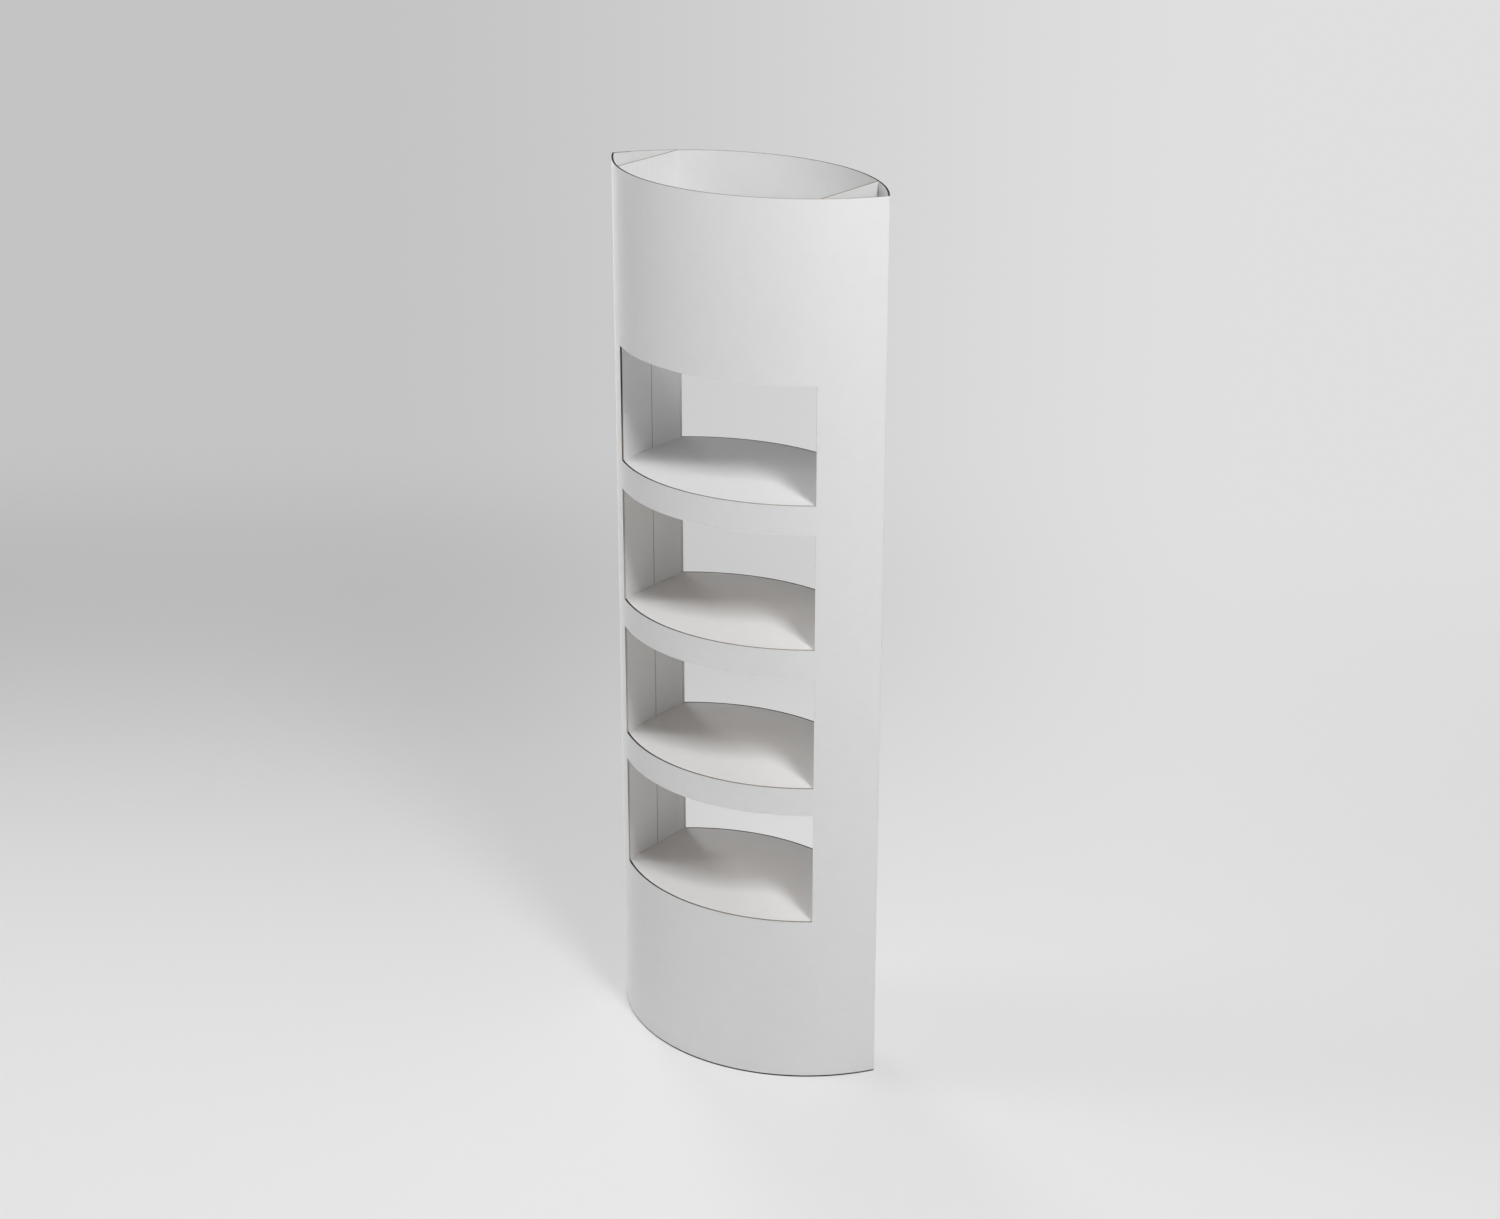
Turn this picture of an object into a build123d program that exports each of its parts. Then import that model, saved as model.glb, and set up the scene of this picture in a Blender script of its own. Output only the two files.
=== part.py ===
from build123d import *
import math
import os

# A free-standing display stand of white-lined corrugated board.
# Its plan is a lens: a curved front wall and a curved back wall that meet in two creased tips.
# The origin is on the floor under the middle of the plan, X runs from tip to tip,
# the front wall bulges towards -Y, and Z is up.

# Outer wall, as it stands
tip_to_tip = 552.0
front_to_back = 302.0
base_height = 300.0
window_count = 4
window_to_tip = 76.0
window_height = 200.0
band_height = 50.0
header_height = 300.0

# Board, and how it folds and fits
board_thickness = 3.0
tip_fold_radius = 2.0
inner_fold_radius = 1.0
fit_clearance = 0.5
lap_width = 30.0

# Dividers
flange_width = 25.0
flange_head_inset = 60.0
flange_foot_inset = 20.0
score_radius = 1.0

# Shelves
flap_height = 40.0
flap_end_inset = 6.0
flap_corner = 10.0
tab_reach = 15.0
tab_corner = 6.0

# Width of a tab, and its centre's distance from the middle, as shares of the flap's width
tab_width_share = 0.28
tab_place_share = 0.21

# How far a cutting shape runs past what it cuts
cut_overrun = 10.0

# Levels, from the floor up
window_pitch = window_height + band_height
window_sills = [base_height + window_pitch * level for level in range(window_count)]
overall_height = window_sills[-1] + window_height + header_height

# Curve of both walls: each is an arc through the tips, with its centre behind the other side
half_length = tip_to_tip / 2
half_depth = front_to_back / 2
wall_radius = (half_length**2 + half_depth**2) / (2 * half_depth)
centre_offset = wall_radius - half_depth
inner_radius = wall_radius - board_thickness
fitted_radius = inner_radius - fit_clearance

# Angles on that curve, in degrees from the middle of a wall
quarter_turn = 90
tip_angle = math.degrees(math.asin(half_length / wall_radius))

# The dividers' inner faces are in line with the sides of the windows
divider_face = half_length - window_to_tip
window_slope = math.tan(math.asin(divider_face / wall_radius))
front = -1
back = 1


def curved_strip(side, outer_radius, start_angle, end_angle):
    """Plan of a stretch of board that follows the front or the back wall."""
    centre = (0, -side * centre_offset)
    first = side * (quarter_turn - start_angle)
    sweep = side * (start_angle - end_angle)
    with BuildSketch() as strip:
        with BuildLine():
            outer = CenterArc(centre, outer_radius, first, sweep)
            inner = CenterArc(centre, outer_radius - board_thickness, first, sweep)
            Line(outer @ 0, inner @ 0)
            Line(outer @ 1, inner @ 1)
        make_face()
    return strip.sketch


def lens(radius):
    """Plan of the space between a front arc and a back arc of this radius."""
    reach = math.degrees(math.acos(centre_offset / radius))
    with BuildSketch() as space:
        with BuildLine():
            CenterArc((0, centre_offset), radius, -quarter_turn - reach, 2 * reach)
            CenterArc((0, -centre_offset), radius, quarter_turn - reach, 2 * reach)
        make_face()
    return space.sketch


os.makedirs("parts", exist_ok=True)

# Outer wrap: one sheet, creased at both tips, its lap glued inside the back wall at the left tip.
# The lap starts where the outside of the front wall meets the inside of the back wall.
lap_fold_y = (inner_radius**2 - wall_radius**2) / (4 * centre_offset)
front_fold_angle = math.degrees(math.acos((centre_offset - lap_fold_y) / wall_radius))
lap_fold_angle = math.degrees(math.acos((centre_offset + lap_fold_y) / inner_radius))
lap_end_angle = lap_fold_angle - math.degrees(lap_width / inner_radius)

with BuildPart() as outer_wrap:
    with BuildSketch() as sheet_plan:
        add(curved_strip(front, wall_radius, -front_fold_angle, tip_angle))
        add(curved_strip(back, inner_radius, -lap_fold_angle, -lap_end_angle))
        fillet(sheet_plan.vertices().sort_by(Axis.X)[0], tip_fold_radius)
        add(curved_strip(back, wall_radius, -tip_angle, tip_angle))
        fillet(sheet_plan.vertices().sort_by(Axis.X)[-1], tip_fold_radius)
    extrude(amount=overall_height)

    # Windows, cut square through the sheet, so that their sides point at the wall's centre
    cut_depth = half_depth + cut_overrun
    near_half = centre_offset * window_slope
    far_half = (centre_offset + cut_depth) * window_slope
    for sill in window_sills:
        with BuildSketch(Plane.XY.offset(sill)):
            with BuildLine():
                Polyline(
                    (-near_half, 0),
                    (near_half, 0),
                    (far_half, -cut_depth),
                    (-far_half, -cut_depth),
                    close=True,
                )
            make_face()
            mirror(about=Plane.XZ)
        extrude(amount=window_height, mode=Mode.SUBTRACT)

outer_wrap.part.label = "outer_wrap"
export_step(outer_wrap.part, "parts/outer_wrap.step")

# Shelf ends: a flap lies against each divider, and two tabs go through it
shelf_end_half = math.sqrt(fitted_radius**2 - divider_face**2) - centre_offset
flap_width = 2 * (shelf_end_half - flap_end_inset)
tab_width = tab_width_share * flap_width
tab_places = [(divider_face, side * tab_place_share * flap_width) for side in (front, back)]
tab_length = board_thickness + tab_reach
slot_width = tab_width + 2 * fit_clearance
slot_height = board_thickness + fit_clearance

# Dividers: a full-height panel with a glue flange folded back along each wall, towards the tip.
# Each is scored down its middle, so that the glued stand folds flat.
flange_start = math.degrees(math.asin(divider_face / (fitted_radius - board_thickness)))
flange_end = flange_start + math.degrees(flange_width / fitted_radius)
flange_top = overall_height - flange_head_inset

with BuildPart() as right_divider:
    with BuildSketch() as panel_plan:
        add(lens(fitted_radius))
        with Locations((divider_face, 0)):
            Rectangle(board_thickness, front_to_back, align=(Align.MIN, Align.CENTER), mode=Mode.INTERSECT)
    extrude(amount=overall_height)

    # The flanges stop short of the rim and of the floor
    with BuildSketch(Plane.XY.offset(flange_foot_inset)):
        for side in (front, back):
            add(curved_strip(side, fitted_radius, flange_start, flange_end))
    extrude(amount=flange_top - flange_foot_inset)

    # Folds between the panel and its flanges
    fold_edges = right_divider.edges().filter_by(Axis.Z).group_by(Axis.X)[0]
    fillet(fold_edges, inner_fold_radius)

    # Slots for the tabs of the shelves, which rest on the lower edge
    for sill in window_sills:
        with BuildSketch(Plane.XY.offset(sill - board_thickness)):
            with Locations(tab_places):
                Rectangle(board_thickness, slot_width, align=(Align.MIN, Align.CENTER))
        extrude(amount=slot_height, mode=Mode.SUBTRACT)

    # Score line
    with BuildSketch():
        with Locations((divider_face, 0)):
            Circle(score_radius)
    extrude(amount=overall_height, mode=Mode.SUBTRACT)

right_divider.part.label = "right_divider"
export_step(right_divider.part, "parts/right_divider.step")

with BuildPart() as left_divider:
    mirror(right_divider.part, about=Plane.YZ)

left_divider.part.label = "left_divider"
export_step(left_divider.part, "parts/left_divider.step")

# Shelves: each has a flap folded down against each divider.
# Two tabs, cut out of the flap, stay level and go through the divider's slots.
for number, sill in enumerate(window_sills, start=1):
    with BuildPart() as shelf:
        underside = Plane.XY.offset(sill - board_thickness)
        with BuildSketch(underside):
            add(lens(fitted_radius))
            Rectangle(2 * divider_face, front_to_back, mode=Mode.INTERSECT)
        extrude(amount=board_thickness)

        with BuildSketch(Plane.YZ.offset(divider_face)):
            with Locations((0, sill)):
                flap = Rectangle(flap_width, flap_height, align=(Align.CENTER, Align.MAX))
            chamfer(flap.vertices().group_by(Axis.Y)[0], flap_corner)
        extrude(amount=-board_thickness)

        fold_edge = shelf.edges().filter_by(Axis.Y).group_by(Axis.Z)[-1].sort_by(Axis.X)[-1]
        fillet(fold_edge, inner_fold_radius)

        with BuildSketch(underside) as tab_plan:
            with Locations(tab_places):
                Rectangle(tab_length, tab_width, align=(Align.MIN, Align.CENTER))
            fillet(tab_plan.vertices().group_by(Axis.X)[-1], tab_corner)
            with Locations(tab_places):
                Rectangle(board_thickness, tab_width, align=(Align.MAX, Align.CENTER))
        extrude(amount=board_thickness)

        with BuildSketch(underside):
            with Locations(tab_places):
                Rectangle(board_thickness, tab_width, align=(Align.MAX, Align.CENTER))
        extrude(amount=board_thickness - tab_length, mode=Mode.SUBTRACT)

        mirror(about=Plane.YZ)

    shelf.part.label = f"shelf_{number}"
    export_step(shelf.part, f"parts/shelf_{number}.step")
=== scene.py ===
import math

import bmesh
import bpy
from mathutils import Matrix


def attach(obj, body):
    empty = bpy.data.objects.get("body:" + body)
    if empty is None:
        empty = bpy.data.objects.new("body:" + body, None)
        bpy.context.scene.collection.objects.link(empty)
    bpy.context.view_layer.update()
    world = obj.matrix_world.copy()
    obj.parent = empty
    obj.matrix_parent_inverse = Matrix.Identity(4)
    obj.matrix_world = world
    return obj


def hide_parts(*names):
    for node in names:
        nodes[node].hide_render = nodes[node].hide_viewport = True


# A free-standing display stand of white-lined corrugated board, in a plain pale studio.
# Lengths are in metres. The wrap and the dividers are built up as real board is:
# two papers on a fluted core.
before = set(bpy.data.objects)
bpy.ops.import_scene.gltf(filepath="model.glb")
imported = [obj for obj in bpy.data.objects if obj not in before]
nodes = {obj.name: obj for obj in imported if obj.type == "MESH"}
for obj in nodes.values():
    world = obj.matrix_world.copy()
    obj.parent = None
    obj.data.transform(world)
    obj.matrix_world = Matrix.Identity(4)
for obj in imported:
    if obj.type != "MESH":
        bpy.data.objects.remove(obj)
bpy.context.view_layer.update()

# The stand as it was cut and folded
tip_to_tip = 0.552
front_to_back = 0.302
base_height = 0.300
window_count = 4
window_to_tip = 0.076
window_height = 0.200
band_height = 0.050
header_height = 0.300
board_thickness = 0.003
tip_fold_radius = 0.002
inner_fold_radius = 0.001
fit_clearance = 0.0005
lap_width = 0.030
flange_width = 0.025
flange_head_inset = 0.060
flange_foot_inset = 0.020
score_radius = 0.001
flap_end_inset = 0.006
tab_reach = 0.015
tab_width_share = 0.28
tab_place_share = 0.21

# Papers of the board, and how far folds and scores crush the flutes
liner_thickness = 0.0003
core_paper = 0.0002
flute_pitch = 0.0065
crushed_reach = 0.003

# Where a divider has no flange, its end all but touches the wall
wall_gap = 0.1 * fit_clearance

# How finely the sheets are divided, and the smallest turn that counts as a fold
liner_spacing = 0.004
flute_steps = 10
score_steps = 8
corner_steps = 6
fold_turn = 0.1
crisp_angle = math.radians(25)

# Margins that keep a level or a place on the right side of an edge, and distances that count
# as none
level_margin = 0.001
cut_margin = 0.0005
same_place = 1e-7
weld_distance = 1e-6

# Colours, as they look in plain light
liner_white = (0.779, 0.78, 0.781)
kraft_light = (0.46, 0.34, 0.23)
kraft_dark = (0.30, 0.21, 0.135)
edge_light = (0.36, 0.295, 0.23)
edge_dark = (0.24, 0.19, 0.145)
# Painted light: the pale colour of the lower windows' sides, as they look lit
side_painted_pale = (0.72, 0.71, 0.69)
unlined_light = (0.77, 0.665, 0.58)
unlined_dark = (0.69, 0.585, 0.50)
# Painted shade: the dark of the flutes' hollows on a shelf's flat cut faces
hollow_shade = (0.055, 0.032, 0.018)

# Grain of the papers, fine and coarse, and how much fibres and clouds change them
liner_grain = (900.0, 45.0)
kraft_grain = (1600.0, 160.0)
fibre_detail, cloud_detail = 3.0, 2.0
liner_tone, fibre_tone, cloud_tone = 0.955, 0.05, 0.04
liner_roughness, liner_cloud_roughness = 0.80, 0.10
kraft_roughness, kraft_cloud_roughness = 0.9, 0.05
ridge_height, fibre_height, cloud_height = 0.05, 0.5, 0.3
kraft_fibre, kraft_cloud, kraft_offset = 0.8, 1.6, 0.7
liner_relief = 0.00002
kraft_relief = 0.00005

# Painted shade in a divider's crease: half its width, and the share of light that it takes
crease_reach = 0.0009
crease_shade = 0.45

# Tones of painted light and shade on the wrap's raw edges. The rim's follow X along each wall, and
# the window sides' follow the height above the top window's sill.
rim_range = (-0.24, 0.16)
rim_light_and_shade = (0.20, 1.20)
back_sill_shade = 0.45
side_range = (0.03, 0.15)
side_shades = (1.0, 0.45)

# A shelf's cut faces: how squarely they face across or up, and what shows of papers and flutes
across_cut = 0.3
level_facing = 0.5
sideways_facing = 0.05
flap_edge_level = -1.2 * board_thickness
core_line = 0.00025
paper_relief = 8

# Camera, which is view_reach in front of the stand along the floor
camera_place = (2.5757, -3.4860, 2.4875)
view_tilt = math.radians(68.7296)
view_turn = math.radians(36.384)
view_reach = 4.33
focal_length = 65.59
film_width = 36

# Studio: its paper, its painted shade under the stand, and the air's strength from the sides
foot_gap = 0.0025
stage_grey = (0.92, 0.92, 0.92)
stage_roughness = 0.95
stage_specular = 0.2
foot_shade = (0.12, 0.115, 0.11)
foot_shade_range = (-0.20, 0.0)
side_air = 0.713
air_lean = -0.125
light_distance = 4.0
light_aim = 0.8

# The studio floor's own tone, as the camera sees it, with painted shade and a painted shadow, over
# distances behind the stand and, for the fan, by the angle to its right
near_tone = 0.801
far_tones = (0.551, 0.741)
tone_fan = (-0.156, 0.194)
floor_range = (-1.0, 2.368)
shadow_tone = 0.15
shadow_range = (3.528, 1.258)
tone_shares = (0.4, 1.0)
share_range = (-1.0, 2.819)

# Levels and curves
pitch = window_height + band_height
sills = [base_height + pitch * level for level in range(window_count)]
overall_height = sills[-1] + window_height + header_height
half_length = tip_to_tip / 2
half_depth = front_to_back / 2
wall_radius = (half_length**2 + half_depth**2) / (2 * half_depth)
centre_offset = wall_radius - half_depth
inner_radius = wall_radius - board_thickness
fitted_radius = inner_radius - fit_clearance
divider_face = half_length - window_to_tip
tip_angle = math.asin(half_length / wall_radius)
window_angle = math.asin(divider_face / wall_radius)
front, back = -1, 1

# The lap starts where the outside of the front wall meets the inside of the back wall
lap_fold_y = (inner_radius**2 - wall_radius**2) / (4 * centre_offset)
lap_fold_angle = math.acos((centre_offset + lap_fold_y) / inner_radius)
flange_start = math.asin(divider_face / (fitted_radius - board_thickness))
flange_end = flange_start + flange_width / fitted_radius

# Depths of the papers' faces below the board's outer face
outer_paper = (0.0, liner_thickness)
inner_paper = (board_thickness - liner_thickness, board_thickness)
core_depth = board_thickness / 2
flute_height = board_thickness - 2 * liner_thickness - core_paper


class Value:
    """A socket of a node tree. Arithmetic on it adds Math nodes, and node() adds any other node."""

    def __init__(self, tree, socket=None):
        self.tree = tree
        self.socket = socket

    def node(self, kind, settings=None, sockets=None, output=0):
        made = self.tree.nodes.new(kind)
        for name, setting in (settings or {}).items():
            setattr(made, name, setting)
        for key, value in (sockets or {}).items():
            if isinstance(value, Value):
                self.tree.links.new(value.socket, made.inputs[key])
            else:
                made.inputs[key].default_value = value
        return Value(self.tree, made.outputs[output])

    def math(self, operation, *operands):
        return self.node("ShaderNodeMath", {"operation": operation}, dict(enumerate(operands)))

    def __add__(self, other):
        return self.math("ADD", self, other)

    def __radd__(self, other):
        return self.math("ADD", other, self)

    def __sub__(self, other):
        return self.math("SUBTRACT", self, other)

    def __rsub__(self, other):
        return self.math("SUBTRACT", other, self)

    def __mul__(self, other):
        return self.math("MULTIPLY", self, other)

    def __rmul__(self, other):
        return self.math("MULTIPLY", other, self)

    def __truediv__(self, other):
        return self.math("DIVIDE", self, other)

    def __pow__(self, other):
        return self.math("POWER", self, other)

    def __gt__(self, other):
        return self.math("GREATER_THAN", self, other)

    def __lt__(self, other):
        return self.math("LESS_THAN", self, other)

    def absolute(self):
        return self.math("ABSOLUTE", self)

    def sine(self):
        return self.math("SINE", self)

    def rise(self, start, end):
        """Goes smoothly from 0 to 1 as this goes from start to end."""
        smooth_step = {"interpolation_type": "SMOOTHSTEP"}
        sockets = {"Value": self, "From Min": start, "From Max": end}
        return self.node("ShaderNodeMapRange", smooth_step, sockets)

    def mix(self, low, high):
        """Number that goes from low to high as this goes from 0 to 1."""
        return low + self * (high - low)

    def apart(self):
        """X, Y and Z of a vector."""
        outputs = self.node("ShaderNodeSeparateXYZ", None, {0: self}).socket.node.outputs
        return [Value(self.tree, output) for output in outputs]

    def scale(self, share):
        """This colour or vector times a number."""
        return self.node("ShaderNodeVectorMath", {"operation": "SCALE"}, {0: self, "Scale": share})

    def times(self, colour):
        """A fixed colour times this number."""
        return self.node("ShaderNodeVectorMath", {"operation": "SCALE"}, {0: colour, "Scale": self})

    def blend(self, low, high):
        """Colour that goes from low to high as this goes from 0 to 1."""
        first_colour, second_colour, mixed_colour = 6, 7, 2
        sockets = {"Factor": self, first_colour: low, second_colour: high}
        for key in (first_colour, second_colour):
            if not isinstance(sockets[key], Value):
                sockets[key] = (*sockets[key], 1)
        return self.node("ShaderNodeMix", {"data_type": "RGBA"}, sockets, output=mixed_colour)


def start_material(name):
    """New material with a plain surface.
    Gives also the root of its expressions, its surface shader and the place on the piece."""
    material = bpy.data.materials.new(name)
    material.use_nodes = True
    surface = material.node_tree.nodes["Principled BSDF"]
    root = Value(material.node_tree)
    return material, root, surface, root.node("ShaderNodeTexCoord", output="Object")


def finish_surface(root, surface, colour, roughness, height, bump_distance):
    """Feeds what varies over the surface to the shader."""
    link = root.tree.links.new
    bump = root.node("ShaderNodeBump", None, {"Distance": bump_distance, "Height": height})
    link(colour.socket, surface.inputs["Base Color"])
    link(roughness.socket, surface.inputs["Roughness"])
    link(bump.socket, surface.inputs["Normal"])


def paper_texture(root, place, fine, coarse):
    """Fibres of paper at two scales, as numbers around a half."""
    return [
        root.node("ShaderNodeTexNoise", None, {"Vector": place, "Scale": scale, "Detail": detail})
        for scale, detail in ((fine, fibre_detail), (coarse, cloud_detail))
    ]


def white_surface(root, place, along):
    """Colour, roughness and height of the white liner.
    Along is a distance across the flutes, whose ridges show faintly."""
    fibre, cloud = paper_texture(root, place, *liner_grain)
    shade = (liner_tone + fibre_tone * fibre + cloud_tone * cloud).times(liner_white)
    ridge = (along * (2 * math.pi / flute_pitch)).sine()
    roughness = liner_roughness + liner_cloud_roughness * cloud
    height = ridge_height * ridge + fibre_height * fibre + cloud_height * cloud
    return shade, roughness, height


def kraft_surface(root, place, low=kraft_dark, high=kraft_light):
    """Colour, roughness and height of raw brown paper."""
    fibre, cloud = paper_texture(root, place, *kraft_grain)
    shade = (kraft_cloud * cloud + kraft_fibre * fibre - kraft_offset).blend(low, high)
    return shade, kraft_roughness + kraft_cloud_roughness * cloud, fibre


def wall_along(x, y):
    """Distance along a curved wall, from its middle."""
    return wall_radius * x.math("ARCTAN2", x, y.absolute() + centre_offset)


def make_wall_liner():
    material, root, surface, place = start_material("white liner, curved wall")
    x, y, _ = place.apart()
    shade, roughness, height = white_surface(root, place, wall_along(x, y))
    finish_surface(root, surface, shade, roughness, height, liner_relief)
    return material


def make_panel_liner():
    """White liner of a divider. Below the header, the crease down its middle is darkened as painted
    shade.
    """
    material, root, surface, place = start_material("white liner, flat panel")
    _, y, z = place.apart()
    shade, roughness, height = white_surface(root, place, y)
    beside_crease = y.absolute().rise(0.5 * crease_reach, 1.5 * crease_reach)
    # Painted shade in the crease, only below the header, where the crease lies in shade
    crease = (1 - beside_crease) * (z < overall_height - header_height)
    crease_shaded = shade.scale(1 - crease_shade * crease)
    finish_surface(root, surface, crease_shaded, roughness, height, liner_relief)
    return material


def make_kraft():
    material, root, surface, place = start_material("raw kraft paper")
    shade, roughness, height = kraft_surface(root, place)
    finish_surface(root, surface, shade, roughness, height, kraft_relief)
    return material


def make_shaded_wrap_edge():
    """Raw papers of the wrap, with painted light and shade. Its rim and front sills are painted
    darkest towards one tip of each wall and lighter towards the other, its back sills are painted
    dark as shade, the sides of the top window are painted dark as shade, and the sides of the lower
    windows are painted pale as lit. Its seam, at the tip with the lap, is plain kraft."""
    material, root, surface, place = start_material("raw paper, cut edges of the wrap, painted shade")
    x, y, z = place.apart()
    shade, roughness, height = kraft_surface(root, place, edge_dark, edge_light)
    front_wall = y < 0
    below_rim = z < overall_height - board_thickness
    # Painted light and shade by place: the rim and front sills by X, the back sills dark, the
    # window sides by height
    rim_shading = (x * (2 * front_wall - 1)).rise(*rim_range).mix(*rim_light_and_shade)
    back_sill = below_rim * (1 - front_wall)
    past_window = wall_along(x, y).absolute() - window_angle * wall_radius
    seam = below_rim * (past_window > board_thickness)
    window_side = below_rim * (past_window > -liner_thickness) - seam
    side_shading = z.rise(*(sills[-1] + reach for reach in side_range)).mix(*side_shades)
    tone = back_sill.mix(rim_shading, back_sill_shade)
    tone = seam.mix(window_side.mix(tone, side_shading), 1.0)
    pale = window_side * (z < sills[-1] - band_height / 2)
    painted_edge = pale.blend(shade.scale(tone), side_painted_pale)
    finish_surface(root, surface, painted_edge, roughness, height, kraft_relief)
    return material


def make_shelf_board():
    """Board of a shelf: white on top, unbleached below, and papers and flutes where it is cut, with
    the flutes' hollows painted dark as shade.
    """
    material, root, surface, place = start_material("white-lined board, shelf")
    x, y, z = place.apart()
    sideways, across, level = root.node("ShaderNodeNewGeometry", output="Normal").apart()

    # Height above the shelf's top face, which repeats from window to window
    above = root.math("MODULO", z - (base_height - pitch / 2), pitch) - pitch / 2
    level_cut = (level.absolute() > level_facing) * (above < flap_edge_level)
    end_cut = x.absolute() > divider_face + board_thickness + tab_reach - cut_margin
    cut = root.math("MAXIMUM", across.absolute() > across_cut, level_cut)
    cut = root.math("MAXIMUM", cut, end_cut)

    # The unlined side: under the panel, and on the flaps towards the middle
    turned_in = (sideways * x < -sideways_facing) * (above < -board_thickness / 2)
    unlined = root.math("MAXIMUM", level < -level_facing, turned_in)

    # Across the board, from one liner to the other, in the panel and in the flap
    panel_depth = above * -1
    flap_depth = divider_face - x.absolute()
    in_flap = above < -board_thickness
    depth = panel_depth + in_flap * (flap_depth - panel_depth)
    wave = core_depth + 0.5 * flute_height * (y * (2 * math.pi / flute_pitch)).sine()
    core = (depth - wave).absolute() < core_line
    liner = (depth - core_depth).absolute() > core_depth - liner_thickness
    paper = root.math("MAXIMUM", core, liner)

    white, white_rough, white_height = white_surface(root, place, y)
    kraft, kraft_rough, kraft_height = kraft_surface(root, place)
    unbleached, _, _ = kraft_surface(root, place, unlined_dark, unlined_light)
    # Between the papers, the hollows of the flutes are painted dark, as shade
    raw = paper.blend(hollow_shade, kraft)
    shade = cut.blend(unlined.blend(white, unbleached), raw)
    roughness = cut.mix(white_rough, kraft_rough)
    height = cut.mix(white_height, paper * paper_relief + kraft_height)
    finish_surface(root, surface, shade, roughness, height, liner_relief)
    return material


def plan_point(side, radius, angle):
    """Point in plan on an arc about the centre of the front or the back wall."""
    return radius * math.sin(angle), side * (radius * math.cos(angle) - centre_offset)


def arc(side, radius, start, end, steps):
    """Points of an arc in plan, without its first point."""
    angles = [start + (end - start) * k / steps for k in range(1, steps + 1)]
    return [plan_point(side, radius, angle) for angle in angles]


def straight(start, end, steps):
    """Points of a straight run in plan, without its first point."""
    run_x, run_y = end[0] - start[0], end[1] - start[1]
    shares = [k / steps for k in range(1, steps + 1)]
    return [(start[0] + run_x * share, start[1] + run_y * share) for share in shares]


def steps_for(length, spacing):
    return max(1, round(length / spacing))


def wrap_line(depth, spacing, _):
    """The wrap in plan, at a depth below its outer face and the same at each height:
    lap, left fold, front wall, right fold, back wall.
    Gives the points, and for each step between them whether it crosses a window."""
    radius, lap_radius = wall_radius - depth, inner_radius - depth
    fold_y = (lap_radius**2 - radius**2) / (4 * centre_offset)
    front_fold = math.acos((centre_offset - fold_y) / radius)
    lap_fold = math.acos((centre_offset + fold_y) / lap_radius)
    tip = math.acos(centre_offset / radius)
    lap_end = lap_fold_angle - lap_width / inner_radius
    side_steps = steps_for((tip_angle - window_angle) * wall_radius, spacing)
    window_steps = steps_for(2 * window_angle * wall_radius, spacing)
    lap_steps = steps_for(lap_width, spacing)
    stretches = [
        (back, lap_radius, -lap_end, -lap_fold, lap_steps, False),
        (front, radius, -front_fold, -window_angle, side_steps, False),
        (front, radius, -window_angle, window_angle, window_steps, True),
        (front, radius, window_angle, tip, side_steps, False),
        (back, radius, tip, window_angle, side_steps, False),
        (back, radius, window_angle, -window_angle, window_steps, True),
        (back, radius, -window_angle, -tip_angle, side_steps, False),
    ]
    points, windows = [plan_point(back, lap_radius, -lap_end)], []
    for side, stretch_radius, start, end, steps, is_window in stretches:
        points += arc(side, stretch_radius, start, end, steps)
        windows += [is_window] * steps
    corners = [lap_steps, lap_steps + 2 * side_steps + window_steps]
    return round_corners(points, windows, corners, tip_fold_radius - depth)


def divider_line(depth, spacing, z):
    """The right divider in plan, at a depth below its face and at a height:
    front flange, panel, back flange.
    Gives the points, and for each step the name of the part of the sheet that it crosses."""
    radius, face = fitted_radius - depth, divider_face + depth
    fold = math.asin(face / radius)
    fold_y = radius * math.cos(fold) - centre_offset
    flange_steps = steps_for(flange_width, spacing)
    marks = divider_marks()
    points, places = [plan_point(front, radius, flange_end)], []
    points += arc(front, radius, flange_end, fold, flange_steps)
    places += ["flange"] * flange_steps
    stops = [-fold_y] + [y for y, _ in marks] + [fold_y]
    names = ["panel"] + [name for _, name in marks]
    for name, start, end in zip(names, stops, stops[1:]):
        steps = score_steps if name == "score" else steps_for(end - start, spacing)
        run = straight((face, start), (face, end), steps)
        if name == "score":
            run = [(face + score_press(y, depth), y) for _, y in run]
        points += run
        places += [name] * len(run)
    points += arc(back, radius, fold, flange_end, flange_steps)
    places += ["flange"] * flange_steps
    corners = [flange_steps, len(points) - 1 - flange_steps]
    points, places = round_corners(points, places, corners, inner_fold_radius - depth)
    flange_head = overall_height - flange_head_inset
    if not flange_foot_inset - level_margin < z < flange_head + level_margin:
        reach_walls(points, places, depth)
    return points, places


def reach_walls(points, places, depth):
    """Where the flanges are cut away, runs the panel straight on to the walls."""
    face = divider_face + depth
    wall_y = math.sqrt((inner_radius - wall_gap) ** 2 - face**2) - centre_offset
    kept = [k for k, place in enumerate(places) if place != "flange"]
    first, last = kept[0], kept[-1] + 1
    straight_on = next(k for k in range(first, last) if abs(points[k][0] - face) < same_place)
    for k in range(first, straight_on + 1):
        share = (k - first) / (straight_on + 1 - first)
        points[k] = (face, -wall_y + share * (points[straight_on + 1][1] + wall_y))
    points[last] = (face, wall_y)


def divider_marks():
    """Where the panel's slots and score start and end, from the front to the back,
    each with what starts there."""
    shelf_end_half = math.sqrt(fitted_radius**2 - divider_face**2) - centre_offset
    flap_width = 2 * (shelf_end_half - flap_end_inset)
    half_slot = tab_width_share * flap_width / 2 + fit_clearance
    place = tab_place_share * flap_width
    return [
        (-place - half_slot, "slot"),
        (-place + half_slot, "panel"),
        (-score_radius, "score"),
        (score_radius, "panel"),
        (place - half_slot, "slot"),
        (place + half_slot, "panel"),
    ]


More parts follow.
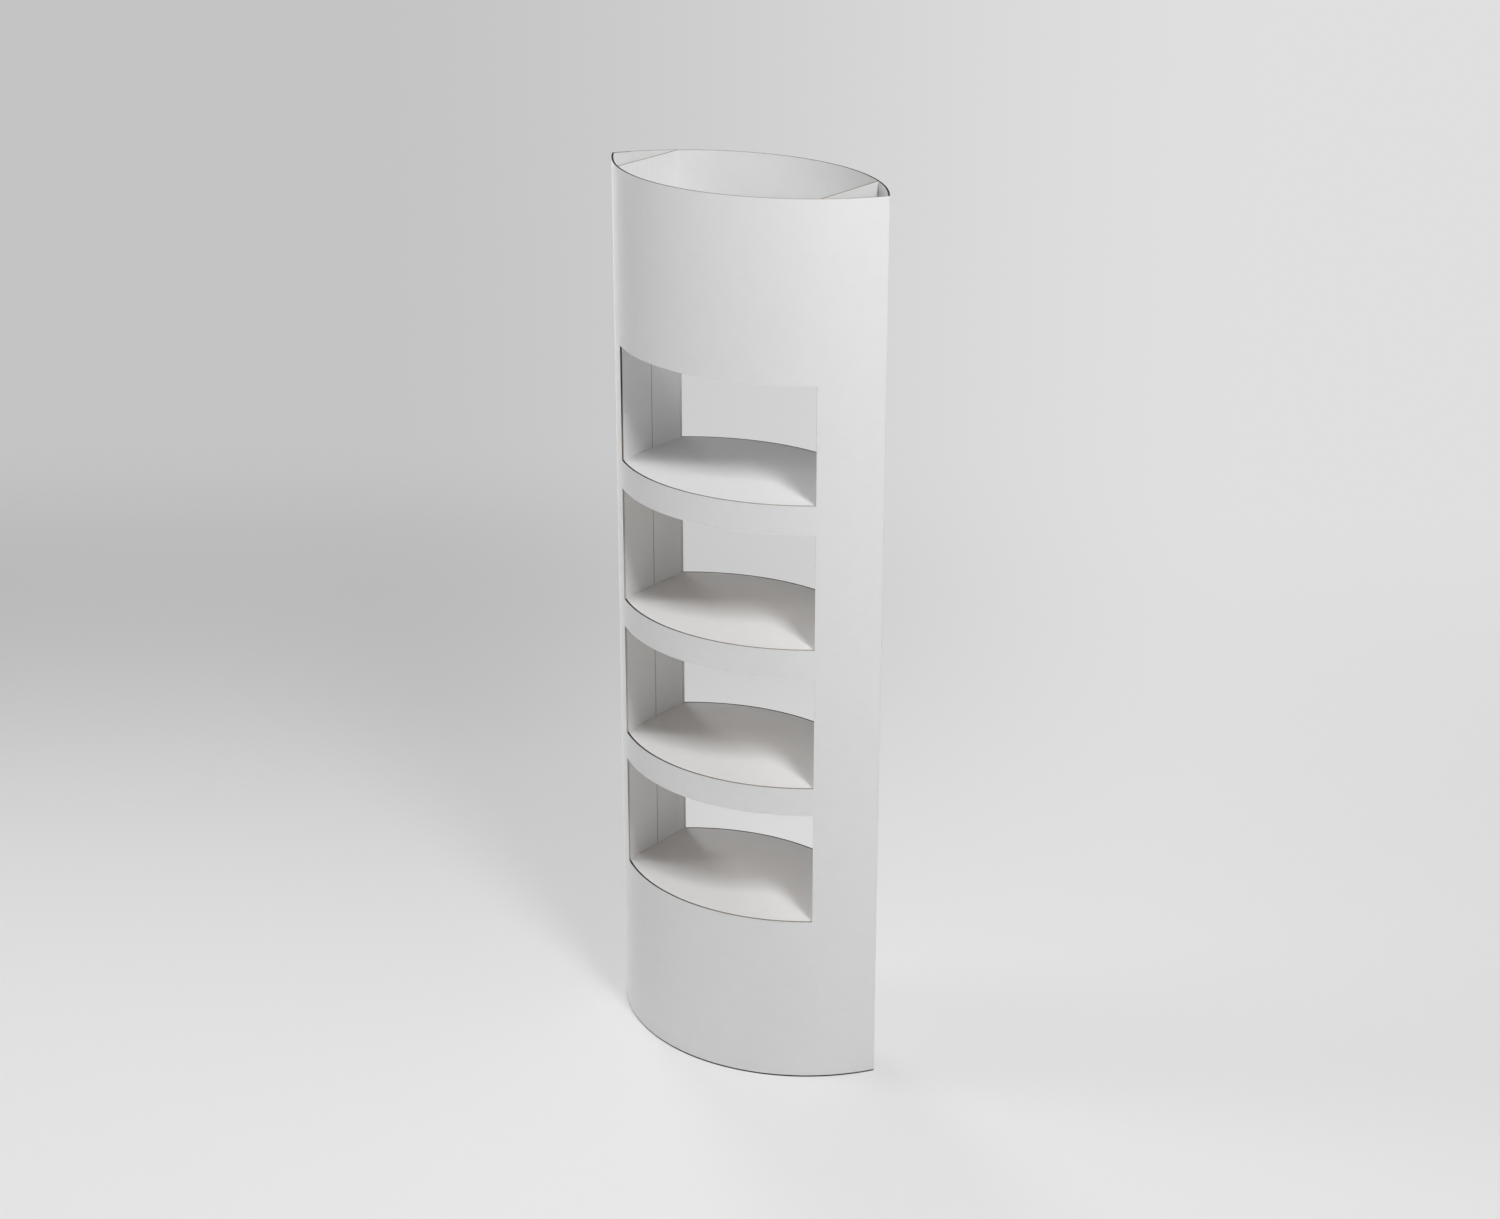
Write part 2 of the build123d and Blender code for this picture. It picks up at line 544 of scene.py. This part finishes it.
def score_press(y, depth):
    """How far the creasing rule has pressed a paper in, at a distance from the score.
    The far liner stays flat."""
    pressed = math.sqrt(max(score_radius**2 - y**2, 0))
    return pressed * max(0, 1 - depth / inner_paper[0])


def round_corners(points, places, corners, radius):
    """Rounds the line at its folds. A radius of nothing or less leaves them sharp."""
    if radius <= 0:
        return points, places
    for corner in reversed(corners):
        before, at, after = (points[corner + k] for k in (-1, 0, 1))
        arrive = math.atan2(at[1] - before[1], at[0] - before[0])
        leave = math.atan2(after[1] - at[1], after[0] - at[0])
        turn = abs((leave - arrive + math.pi) % (2 * math.pi) - math.pi)
        reach = radius * math.tan(turn / 2)
        start = (at[0] - reach * math.cos(arrive), at[1] - reach * math.sin(arrive))
        end = (at[0] + reach * math.cos(leave), at[1] + reach * math.sin(leave))
        rounded = []
        for share in (k / corner_steps for k in range(corner_steps + 1)):
            weights = ((1 - share) ** 2, 2 * share * (1 - share), share**2)
            weighted = list(zip(weights, (start, at, end)))
            rounded.append(tuple(sum(w * point[axis] for w, point in weighted) for axis in (0, 1)))
        points[corner:corner + 1] = rounded
        places[corner:corner] = [places[corner]] * corner_steps
    return points, places


def wrap_levels():
    cuts = [level for sill in sills for level in (sill, sill + window_height)]
    return [0.0] + cuts + [overall_height]


def wrap_is_open(is_window, low, high):
    middle = (low + high) / 2
    return is_window and any(sill < middle < sill + window_height for sill in sills)


def divider_levels():
    """Heights at which a divider changes. Just beyond its flanges, its panel widens."""
    cuts = [level for sill in sills for level in (sill - board_thickness, sill + fit_clearance)]
    foot = [0.0, flange_foot_inset - board_thickness, flange_foot_inset]
    flange_top = overall_height - flange_head_inset
    return foot + cuts + [flange_top, flange_top + board_thickness, overall_height]


def divider_is_open(place, low, high):
    middle = (low + high) / 2
    if place == "flange":
        return not flange_foot_inset < middle < overall_height - flange_head_inset
    at_shelf = any(sill - board_thickness < middle < sill + fit_clearance for sill in sills)
    return place == "slot" and at_shelf


def kept_cells(places, levels, is_open):
    """Cells of the sheet that aren't cut away, as column and row."""
    rows = list(zip(levels, levels[1:]))
    return {
        (column, row)
        for column, place in enumerate(places)
        for row, (low, high) in enumerate(rows)
        if not is_open(place, low, high)
    }


def liner_piece(name, line, depths, levels, is_open, white_first, papers):
    """A liner paper between two depths. Its white face looks out of the board,
    and the rest is raw paper."""
    cells = kept_cells(line(depths[0], liner_spacing, 0.0)[1], levels, is_open)
    sheet = bmesh.new()
    near, far = (
        [[sheet.verts.new((x, y, z)) for x, y in line(depth, liner_spacing, z)[0]] for z in levels]
        for depth in depths
    )
    for column, row in cells:
        corners = [(row, column), (row, column + 1), (row + 1, column + 1), (row + 1, column)]
        near_ring = [near[r][c] for r, c in corners]
        far_ring = [far[r][c] for r, c in corners]
        sheet.faces.new(near_ring).material_index = 0 if white_first else 1
        sheet.faces.new(far_ring[::-1]).material_index = 1 if white_first else 0
        for k, (across, up) in enumerate(((0, -1), (1, 0), (0, 1), (-1, 0))):
            if (column + across, row + up) not in cells:
                after = (k + 1) % 4
                edge = [near_ring[k], far_ring[k], far_ring[after], near_ring[after]]
                sheet.faces.new(edge).material_index = 1
    delete_loose(sheet)
    bmesh.ops.recalc_face_normals(sheet, faces=sheet.faces)
    return finish_piece(name, sheet, papers)


def delete_loose(sheet):
    """Removes the points that are left where cells are cut away."""
    loose = [vertex for vertex in sheet.verts if not vertex.link_faces]
    bmesh.ops.delete(sheet, geom=loose, context="VERTS")


def folds_in(points, places, travelled):
    """Distances along the sheet at which it is folded or scored."""
    folds = [travelled[k] for k, place in enumerate(places) if place == "score"]
    for k, (before, at, after) in enumerate(zip(points, points[1:], points[2:]), start=1):
        arrive = math.atan2(at[1] - before[1], at[0] - before[0])
        leave = math.atan2(after[1] - at[1], after[0] - at[0])
        if abs(math.remainder(leave - arrive, 2 * math.pi)) > fold_turn:
            folds.append(travelled[k])
    return folds


def core_sheet(name, line, levels, is_open):
    """The core's paper before it is fluted: its middle face. Each point has its distance along
    the sheet, and how much of its flute is left, because folds and scores crush the flutes."""
    spacing = flute_pitch / flute_steps
    points, places = line(core_depth, spacing, overall_height / 2)
    travelled = [0.0]
    for a, b in zip(points, points[1:]):
        travelled.append(travelled[-1] + math.dist(a, b))
    folds = folds_in(points, places, travelled)
    sheet = bmesh.new()
    along = sheet.verts.layers.float.new("along")
    uncrushed = sheet.verts.layers.float.new("uncrushed")
    grid = []
    for z in levels:
        grid.append([])
        for (x, y), distance in zip(line(core_depth, spacing, z)[0], travelled):
            vertex = sheet.verts.new((x, y, z))
            vertex[along] = distance
            vertex[uncrushed] = min(1, min(abs(distance - fold) for fold in folds) / crushed_reach)
            grid[-1].append(vertex)
    for column, row in kept_cells(places, levels, is_open):
        corners = [(row, column), (row, column + 1), (row + 1, column + 1), (row + 1, column)]
        sheet.faces.new([grid[r][c] for r, c in corners])
    delete_loose(sheet)
    return finish_piece(name, sheet, [])


def finish_piece(name, sheet, materials):
    """Turns a sheet into an object of its own, with its materials."""
    mesh = bpy.data.meshes.new(name)
    sheet.to_mesh(mesh)
    sheet.free()
    for material in materials:
        mesh.materials.append(material)
    piece = bpy.data.objects.new(name, mesh)
    bpy.context.scene.collection.objects.link(piece)
    return piece


def smooth(piece):
    """Shades a piece smooth, but keeps its folds and cut edges crisp."""
    piece.data.shade_smooth()
    piece.data.set_sharp_from_angle(angle=crisp_angle)


def fluting_tree():
    """Geometry nodes that wave a flat core paper between the liners and give it its thickness."""
    tree = bpy.data.node_groups.new("Fluting", "GeometryNodeTree")
    tree.is_modifier = True
    new_socket = tree.interface.new_socket
    new_socket("Geometry", in_out="INPUT", socket_type="NodeSocketGeometry")
    for name, value in (
        ("Flute pitch", flute_pitch),
        ("Flute height", flute_height),
        ("Paper thickness", core_paper),
    ):
        new_socket(name, in_out="INPUT", socket_type="NodeSocketFloat").default_value = value
    new_socket("Paper", in_out="INPUT", socket_type="NodeSocketMaterial")
    new_socket("Geometry", in_out="OUTPUT", socket_type="NodeSocketGeometry")

    root = Value(tree)
    entry = tree.nodes.new("NodeGroupInput")
    flat, flute, height, thickness, paper = (Value(tree, entry.outputs[k]) for k in range(5))
    along, uncrushed = (
        root.node("GeometryNodeInputNamedAttribute", {"data_type": "FLOAT"}, {"Name": name})
        for name in ("along", "uncrushed")
    )
    wave = (along * (2 * math.pi) / flute).sine() * uncrushed * height * 0.5 - thickness * 0.5
    lift = root.node("GeometryNodeInputNormal").scale(wave)
    waved = root.node("GeometryNodeSetPosition", None, {"Geometry": flat, "Offset": lift})
    extrusion = {"Mesh": waved, "Offset Scale": thickness, "Individual": False}
    face = root.node("GeometryNodeExtrudeMesh", None, extrusion)
    underside = root.node("GeometryNodeFlipFaces", None, {"Mesh": waved})
    closed = root.node("GeometryNodeJoinGeometry", None, {"Geometry": face})
    tree.links.new(underside.socket, closed.socket.node.inputs["Geometry"])
    welded = {"Geometry": closed, "Distance": weld_distance}
    merged = root.node("GeometryNodeMergeByDistance", None, welded)
    real = root.node("GeometryNodeRealizeInstances", None, {"Geometry": merged})
    dressed = root.node("GeometryNodeSetMaterial", None, {"Geometry": real, "Material": paper})
    leave = tree.nodes.new("NodeGroupOutput")
    tree.links.new(dressed.socket, leave.inputs["Geometry"])
    return tree


def flute(piece, tree, paper):
    """Runs the fluting on a flat core paper and leaves a plain mesh."""
    modifier = piece.modifiers.new("Fluting", "NODES")
    modifier.node_group = tree
    inputs = [item for item in tree.interface.items_tree if item.in_out == "INPUT"]
    identifiers = {item.name: item.identifier for item in inputs}
    modifier[identifiers["Paper"]] = paper
    waved = piece.evaluated_get(bpy.context.evaluated_depsgraph_get())
    mesh = bpy.data.meshes.new_from_object(waved)
    piece.modifiers.clear()
    piece.data = mesh


def mirror_piece(piece, name):
    """The same piece for the other end of the stand."""
    sheet = bmesh.new()
    sheet.from_mesh(piece.data)
    for vertex in sheet.verts:
        vertex.co.x = -vertex.co.x
    bmesh.ops.reverse_faces(sheet, faces=sheet.faces)
    return finish_piece(name, sheet, list(piece.data.materials))


def stand_for(piece, node):
    smooth(piece)
    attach(piece, "root")
    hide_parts(node)


wall_liner = make_wall_liner()
panel_liner = make_panel_liner()
kraft = make_kraft()
shaded_wrap_edge = make_shaded_wrap_edge()
shelf_board = make_shelf_board()
fluting = fluting_tree()

# Both liners of a board: name, depths of its faces, and whether the first of them is the white one
liners = (("outer_liner", outer_paper, True), ("inner_liner", inner_paper, False))

# Wrap
papers = [wall_liner, shaded_wrap_edge]
sheet_cut = (wrap_levels(), wrap_is_open)
for name, depths, white_first in liners:
    liner = liner_piece(f"wrap_{name}", wrap_line, depths, *sheet_cut, white_first, papers)
    stand_for(liner, "outer_wrap")
core = core_sheet("wrap_fluted_core", wrap_line, *sheet_cut)
flute(core, fluting, shaded_wrap_edge)
stand_for(core, "outer_wrap")

# Dividers
papers = [panel_liner, kraft]
sheet_cut = (divider_levels(), divider_is_open)
for name, depths, white_first in liners:
    right_name = f"right_divider_{name}"
    liner = liner_piece(right_name, divider_line, depths, *sheet_cut, white_first, papers)
    stand_for(liner, "right_divider")
    stand_for(mirror_piece(liner, f"left_divider_{name}"), "left_divider")
core = core_sheet("right_divider_fluted_core", divider_line, *sheet_cut)
flute(core, fluting, kraft)
stand_for(core, "right_divider")
stand_for(mirror_piece(core, "left_divider_fluted_core"), "left_divider")

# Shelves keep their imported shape
for number in range(1, window_count + 1):
    shelf = nodes[f"shelf_{number}"]
    for slot in shelf.material_slots:
        slot.material = shelf_board


def bowl_stage():
    """A round seamless floor that sweeps up into its backdrop all round, far from the stand."""
    rings, flat_reach, rise_radius, wall_height = (0.0, 1.0, 3.0, 6.0), 9.0, 4.0, 9.0
    sweep_steps, round_steps, weld = 12, 96, 1e-5
    profile = [(reach, 0.0) for reach in rings]
    for k in range(sweep_steps + 1):
        angle = math.pi / 2 * k / sweep_steps
        reach = flat_reach + rise_radius * math.sin(angle)
        profile.append((reach, rise_radius * (1 - math.cos(angle))))
    profile.append((flat_reach + rise_radius, wall_height))
    sheet = bmesh.new()
    edges, last = [], None
    for reach, z in profile:
        vertex = sheet.verts.new((reach, 0, z))
        if last:
            edges.append(sheet.edges.new((last, vertex)))
        last = vertex
    turn = {"axis": (0, 0, 1), "angle": 2 * math.pi, "steps": round_steps, "use_merge": True}
    bmesh.ops.spin(sheet, geom=list(sheet.verts) + edges, cent=(0, 0, 0), **turn)
    bmesh.ops.remove_doubles(sheet, verts=sheet.verts, dist=weld)
    bmesh.ops.translate(sheet, verts=sheet.verts, vec=(0, 0, -foot_gap))
    bmesh.ops.recalc_face_normals(sheet, faces=sheet.faces)
    stage = finish_piece("studio_floor", sheet, [make_stage_paper()])
    stage.data.shade_smooth()


def make_stage_paper():
    """Pale paper of the studio. The camera sees it partly by its own glowing tone, which falls off
    towards the back left as painted shade, with a painted shadow there. Under the stand it has no
    tone of its own and is in deep shade, deepened by painted shade in its colour, most of all away
    from the fill light, so that the foot shows dark against it."""
    material, root, surface, place = start_material("studio floor")
    surface.inputs["Roughness"].default_value = stage_roughness
    surface.inputs["Specular IOR Level"].default_value = stage_specular

    x, y, _ = place.apart()
    rightward = x * math.cos(view_turn) + y * math.sin(view_turn)
    onward = y * math.cos(view_turn) - x * math.sin(view_turn)
    to_right = (rightward / (onward + view_reach)).rise(*tone_fan)
    in_shadow = onward.rise(*shadow_range) * (1 - to_right)
    # Painted shadow towards the back left, in the floor's own tone
    far_tone = to_right.mix(*far_tones) - shadow_tone * in_shadow
    tone = onward.rise(*floor_range).mix(near_tone, far_tone)
    glow = root.node("ShaderNodeEmission", None, {"Color": tone, "Strength": 1.0})

    to_camera, to_gloss = (
        root.node("ShaderNodeLightPath", output=ray) for ray in ("Is Camera Ray", "Is Glossy Ray")
    )
    seen = to_camera + to_gloss
    clear = (x * x + (y.absolute() + centre_offset) ** 2) ** 0.5 > wall_radius
    # Painted shade under the stand, darkest away from the fill light
    shaded = (1 - clear) * x.rise(*foot_shade_range)
    root.tree.links.new(shaded.blend(stage_grey, foot_shade).socket, surface.inputs["Base Color"])
    share = seen * clear * onward.rise(*share_range).mix(*tone_shares)
    lit = Value(root.tree, surface.outputs[0])
    mixed = root.node("ShaderNodeMixShader", None, {0: share, 1: lit, 2: glow})
    root.tree.links.new(mixed.socket, root.tree.nodes["Material Output"].inputs["Surface"])
    return material


def soft_light(name, azimuth, elevation, width, height, power):
    """A soft light, turned to the stand's middle. Its angles are in degrees, its power in watts.
    Azimuth 0 is in front of the stand, and 90 to its right."""
    turn, tilt = math.radians(azimuth), math.radians(elevation)
    lamp = bpy.data.lights.new(name, "AREA")
    lamp.shape = "ELLIPSE"
    lamp.size = width
    lamp.size_y = height
    lamp.energy = power
    light = bpy.data.objects.new(name, lamp)
    light.visible_camera = False
    flat = light_distance * math.cos(tilt)
    height_up = light_aim + light_distance * math.sin(tilt)
    light.location = (flat * math.sin(turn), -flat * math.cos(turn), height_up)
    light.rotation_euler = (math.pi / 2 - tilt, 0, turn)
    bpy.context.scene.collection.objects.link(light)


def studio_air():
    """Pale light from all round the studio, strongest from its two sides, the left one most."""
    world = bpy.data.worlds.new("studio")
    world.use_nodes = True
    root = Value(world.node_tree)
    rightward, _, _ = root.node("ShaderNodeTexCoord", output="Generated").apart()
    strength = side_air * rightward.absolute() + air_lean * rightward
    air = world.node_tree.nodes["Background"]
    air.inputs["Color"].default_value = (1, 1, 1, 1)
    world.node_tree.links.new(strength.socket, air.inputs["Strength"])
    bpy.context.scene.world = world


bowl_stage()
soft_light("key", azimuth=60, elevation=48, width=0.8, height=1.3, power=91.4)
soft_light("fill", azimuth=-60, elevation=32, width=1.4, height=1.4, power=33.0)
soft_light("side", azimuth=-120, elevation=5, width=1.4, height=1.4, power=72.6)
studio_air()

lens = bpy.data.cameras.new("camera")
lens.sensor_width = film_width
lens.lens = focal_length
camera = bpy.data.objects.new("camera", lens)
camera.location = camera_place
camera.rotation_euler = (view_tilt, 0, view_turn)
bpy.context.scene.collection.objects.link(camera)
bpy.context.scene.camera = camera
bpy.context.scene.view_settings.view_transform = "Standard"
